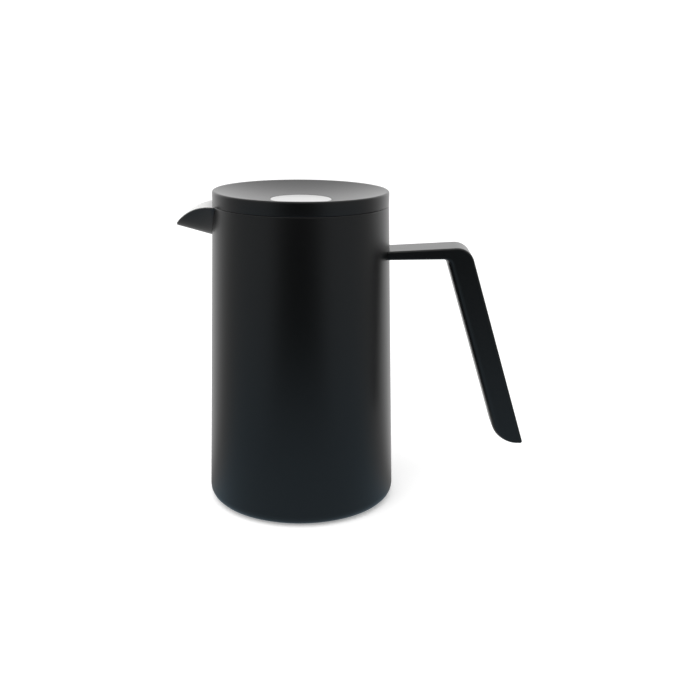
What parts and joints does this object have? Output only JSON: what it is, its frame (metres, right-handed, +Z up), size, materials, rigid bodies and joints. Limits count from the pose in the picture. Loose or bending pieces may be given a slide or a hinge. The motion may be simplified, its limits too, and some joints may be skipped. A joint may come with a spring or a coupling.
{
  "type": "french press",
  "caption": "Double-wall french press with a tapered vessel, folded pouring beak, open angled handle, and a dished press disc over a lift-out lid with a filter plunger.",
  "frame": {"origin": "centre of the round base, on the surface that the vessel stands on", "axes": "+Z up along the vessel's axis, the pouring beak towards -X, the handle towards +X"},
  "size_m": [0.2131, 0.1156, 0.1922],
  "materials": {
    "black_coat": "satin black powder coat on steel",
    "steel": "fine brushed stainless steel",
    "black_plastic": "satin moulded black nylon",
    "silicone": "matte black silicone"
  },
  "bodies": {
    "vessel": {"outer_shell": "black_coat", "inner_liner": "steel", "base_plate": "steel", "vent_plug": "steel", "base_pad": "silicone", "spout": "black_coat", "handle": "black_plastic", "handle_tongue": "steel", "handle_screw_1": "steel", "handle_screw_2": "steel"},
    "seal": {"lid_seal": "silicone"},
    "lid": {"lid_insert": "black_plastic", "pour_strainer": "steel", "lid_underplate": "steel", "lid_screw_1": "steel", "lid_screw_2": "steel", "lid_screw_3": "steel", "rod_bush": "black_plastic", "bush_clip": "steel"},
    "plunger": {"press_disc": "black_coat", "press_inlay": "steel", "press_core": "black_plastic", "boss_nut": "steel", "plunger_rod": "steel", "rod_collar": "steel", "spring_plate": "steel", "edge_spring": "steel", "mesh_screen": "steel", "cross_plate": "steel", "filter_nut": "steel"}
  },
  "joints": [
    {"name": "lid_lift", "type": "slide", "parent": "vessel", "child": "seal", "axis": [0, 0, 1], "range_m": [0, 0.19]},
    {"name": "lid_turn", "type": "hinge", "parent": "seal", "child": "lid", "pos_m": [0, 0, 0.17], "axis": [0, 0, 1], "continuous": true},
    {"name": "plunger_slide", "type": "slide", "parent": "lid", "child": "plunger", "axis": [0, 0, 1], "range_m": [0, 0.1295]}
  ]
}
